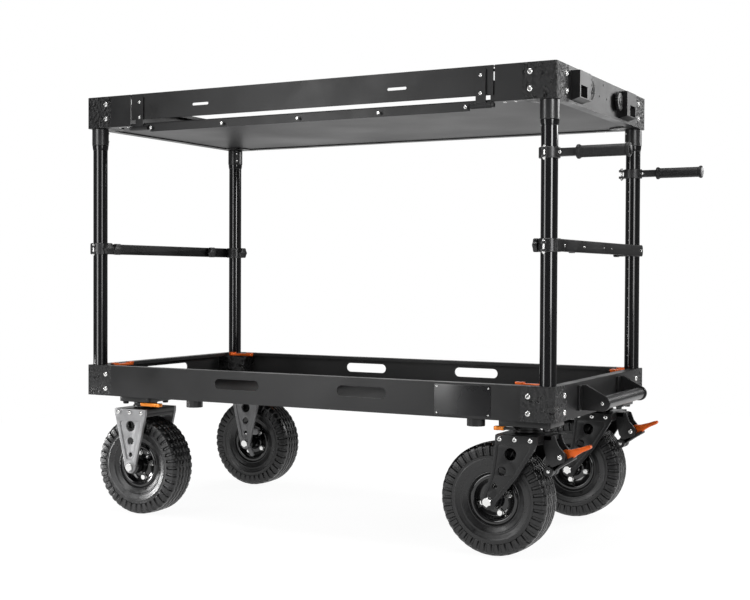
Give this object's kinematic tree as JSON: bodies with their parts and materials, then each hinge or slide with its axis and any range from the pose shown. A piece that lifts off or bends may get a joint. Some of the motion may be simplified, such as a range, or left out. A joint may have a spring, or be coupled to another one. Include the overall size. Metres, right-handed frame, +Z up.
{
  "type": "camera cart",
  "caption": "Two-deck camera cart on four pneumatic wheels, with posts, a fold-down side gate, swivel casters with brakes, push handles and a push bar.",
  "frame": {"origin": "on the floor, under the middle of the whole object's box", "axes": "+X along the cart to the push handles, +Y across to its back long side, +Z up"},
  "size_m": [1.481, 0.6906, 1.109],
  "materials": {
    "frame_black": "satin black powder coat",
    "casting_black": "textured black powder coat",
    "deck_black": "satin black sheet",
    "deck_grey": "satin dark grey sheet",
    "post_gloss": "gloss black tube",
    "orange": "orange anodised",
    "fork_grey": "satin dark grey",
    "fork_black": "satin black",
    "tyre": "moulded rubber tread",
    "rim_black": "semi-gloss black",
    "knob_black": "matt black",
    "bright_steel": "bright zinc-plated screws and bolt heads",
    "grip_rubber": "soft black grip",
    "plug_grey": "grey end plug",
    "nameplate_black": "bare black plate",
    "handle_black": "black arm with a soft black grip"
  },
  "bodies": {
    "lower_frame": {"lower_deck": "deck_black", "lower_rail_front": "frame_black", "lower_rail_back": "frame_black", "lower_rail_right": "frame_black", "lower_rail_left": "frame_black", "push_bar": "frame_black", "lower_corner_front_left": "casting_black", "lower_corner_back_left": "casting_black", "lower_corner_front_right": "casting_black", "lower_corner_back_right": "casting_black", "caster_base_front_right": "frame_black", "caster_base_back_right": "frame_black", "fork_front_left": "fork_grey", "fork_back_left": "fork_grey"},
    "upper_frame": {"post_front_left": "post_gloss", "post_back_left": "post_gloss", "post_front_right": "post_gloss", "post_back_right": "post_gloss", "upper_corner_front_left": "casting_black", "upper_corner_back_left": "casting_black", "upper_corner_front_right": "casting_black", "upper_corner_back_right": "casting_black", "upper_deck": "deck_grey", "upper_sill_front": "frame_black", "upper_rail_back": "frame_black", "upper_rail_right": "frame_black", "upper_rail_left": "frame_black"},
    "wheel_front_left": {"tyre_front_left": "tyre", "rim_front_left": "rim_black"},
    "tab_front_left": {"release_tab_front_left": "orange"},
    "latch_front_left": {"post_latch_front_left": "orange"},
    "wheel_back_left": {"tyre_back_left": "tyre", "rim_back_left": "rim_black"},
    "tab_back_left": {"release_tab_back_left": "orange"},
    "latch_back_left": {"post_latch_back_left": "orange"},
    "swivel_front_right": {"fork_front_right": "fork_black"},
    "wheel_front_right": {"tyre_front_right": "tyre", "rim_front_right": "rim_black"},
    "brake_front_right": {"brake_lever_front_right": "orange"},
    "tab_front_right": {"release_tab_front_right": "orange"},
    "latch_front_right": {"post_latch_front_right": "orange"},
    "swivel_back_right": {"fork_back_right": "fork_black"},
    "wheel_back_right": {"tyre_back_right": "tyre", "rim_back_right": "rim_black"},
    "brake_back_right": {"brake_lever_back_right": "orange"},
    "tab_back_right": {"release_tab_back_right": "orange"},
    "latch_back_right": {"post_latch_back_right": "orange"},
    "gate_body_front": {"gate_front": "frame_black"},
    "handle_front": {"push_handle_front": "handle_black"},
    "hand_wheel_body_front": {"hand_wheel_front": "knob_black"},
    "handle_back": {"push_handle_back": "handle_black"},
    "hand_wheel_body_back": {"hand_wheel_back": "knob_black"},
    "crossbar_body_left": {"crossbar_left": "frame_black"},
    "clamp_knob_front_left": {"crossbar_knob_front_left": "knob_black"},
    "clamp_knob_back_left": {"crossbar_knob_back_left": "knob_black"},
    "crossbar_body_right": {"crossbar_right": "frame_black"},
    "clamp_knob_front_right": {"crossbar_knob_front_right": "knob_black"},
    "clamp_knob_back_right": {"crossbar_knob_back_right": "knob_black"}
  },
  "joints": [
    {"name": "upper_frame_lift", "type": "slide", "parent": "lower_frame", "child": "upper_frame", "axis": [0, 0, 1], "range_m": [0, 0.055]},
    {"name": "wheel_spin_front_left", "type": "hinge", "parent": "lower_frame", "child": "wheel_front_left", "pos_m": [-0.6005, -0.26775, 0.13018], "axis": [0, 1, 0], "continuous": true},
    {"name": "release_front_left", "type": "slide", "parent": "lower_frame", "child": "tab_front_left", "axis": [1, 0, 0], "range_m": [0, 0.01], "stiffness_N_per_m": 400},
    {"name": "post_latch_turn_front_left", "type": "hinge", "parent": "lower_frame", "child": "latch_front_left", "pos_m": [-0.6985, -0.27675, 0.394], "axis": [0, 0, -1], "range_deg": [0, 90]},
    {"name": "wheel_spin_back_left", "type": "hinge", "parent": "lower_frame", "child": "wheel_back_left", "pos_m": [-0.6005, 0.27025, 0.13018], "axis": [0, 1, 0], "continuous": true},
    {"name": "release_back_left", "type": "slide", "parent": "lower_frame", "child": "tab_back_left", "axis": [1, 0, 0], "range_m": [0, 0.01], "stiffness_N_per_m": 400},
    {"name": "post_latch_turn_back_left", "type": "hinge", "parent": "lower_frame", "child": "latch_back_left", "pos_m": [-0.6985, 0.27925, 0.394], "axis": [0, 0, -1], "range_deg": [0, 90]},
    {"name": "swivel_front_right", "type": "hinge", "parent": "lower_frame", "child": "swivel_front_right", "pos_m": [0.4875, -0.26775, 0.284], "axis": [0, 0, 1], "continuous": true},
    {"name": "wheel_spin_front_right", "type": "hinge", "parent": "swivel_front_right", "child": "wheel_front_right", "pos_m": [0.4205, -0.26775, 0.13018], "axis": [0, 1, 0], "continuous": true},
    {"name": "brake_front_right", "type": "hinge", "parent": "swivel_front_right", "child": "brake_front_right", "pos_m": [0.5755, -0.26775, 0.236], "axis": [0, 1, 0], "range_deg": [0, 10]},
    {"name": "release_front_right", "type": "slide", "parent": "lower_frame", "child": "tab_front_right", "axis": [-1, 0, 0], "range_m": [0, 0.01], "stiffness_N_per_m": 400},
    {"name": "post_latch_turn_front_right", "type": "hinge", "parent": "lower_frame", "child": "latch_front_right", "pos_m": [0.5375, -0.27675, 0.394], "axis": [0, 0, -1], "range_deg": [0, 90]},
    {"name": "swivel_back_right", "type": "hinge", "parent": "lower_frame", "child": "swivel_back_right", "pos_m": [0.4875, 0.27025, 0.284], "axis": [0, 0, 1], "continuous": true},
    {"name": "wheel_spin_back_right", "type": "hinge", "parent": "swivel_back_right", "child": "wheel_back_right", "pos_m": [0.4205, 0.27025, 0.13018], "axis": [0, 1, 0], "continuous": true},
    {"name": "brake_back_right", "type": "hinge", "parent": "swivel_back_right", "child": "brake_back_right", "pos_m": [0.5755, 0.27025, 0.236], "axis": [0, 1, 0], "range_deg": [0, 10]},
    {"name": "release_back_right", "type": "slide", "parent": "lower_frame", "child": "tab_back_right", "axis": [-1, 0, 0], "range_m": [0, 0.01], "stiffness_N_per_m": 400},
    {"name": "post_latch_turn_back_right", "type": "hinge", "parent": "lower_frame", "child": "latch_back_right", "pos_m": [0.5375, 0.27925, 0.394], "axis": [0, 0, -1], "range_deg": [0, 90]},
    {"name": "gate_drop_front", "type": "hinge", "parent": "upper_frame", "child": "gate_body_front", "pos_m": [-0.0805, -0.33875, 1.02], "axis": [1, 0, 0], "range_deg": [0, 178]},
    {"name": "handle_turn_front", "type": "hinge", "parent": "upper_frame", "child": "handle_front", "pos_m": [0.5555, -0.31475, 0.91], "axis": [0, 0, 1], "range_deg": [-30, 90]},
    {"name": "hand_wheel_turn_front", "type": "hinge", "parent": "upper_frame", "child": "hand_wheel_body_front", "pos_m": [0.5795, -0.13775, 1.07], "axis": [1, 0, 0], "continuous": true},
    {"name": "handle_turn_back", "type": "hinge", "parent": "upper_frame", "child": "handle_back", "pos_m": [0.5555, 0.31725, 0.91], "axis": [0, 0, -1], "range_deg": [-30, 90]},
    {"name": "hand_wheel_turn_back", "type": "hinge", "parent": "upper_frame", "child": "hand_wheel_body_back", "pos_m": [0.5795, 0.08425, 1.07], "axis": [1, 0, 0], "continuous": true},
    {"name": "crossbar_height_left", "type": "slide", "parent": "upper_frame", "child": "crossbar_body_left", "axis": [0, 0, 1], "range_m": [-0.28, 0.24]},
    {"name": "clamp_knob_turn_front_left", "type": "hinge", "parent": "crossbar_body_left", "child": "clamp_knob_front_left", "pos_m": [-0.7165, -0.31475, 0.707], "axis": [1, 0, 0], "continuous": true},
    {"name": "clamp_knob_turn_back_left", "type": "hinge", "parent": "crossbar_body_left", "child": "clamp_knob_back_left", "pos_m": [-0.7165, 0.31725, 0.707], "axis": [1, 0, 0], "continuous": true},
    {"name": "crossbar_height_right", "type": "slide", "parent": "upper_frame", "child": "crossbar_body_right", "axis": [0, 0, 1], "range_m": [-0.28, 0.16]},
    {"name": "clamp_knob_turn_front_right", "type": "hinge", "parent": "crossbar_body_right", "child": "clamp_knob_front_right", "pos_m": [0.5555, -0.31475, 0.707], "axis": [1, 0, 0], "continuous": true},
    {"name": "clamp_knob_turn_back_right", "type": "hinge", "parent": "crossbar_body_right", "child": "clamp_knob_back_right", "pos_m": [0.5555, 0.31725, 0.707], "axis": [1, 0, 0], "continuous": true}
  ]
}
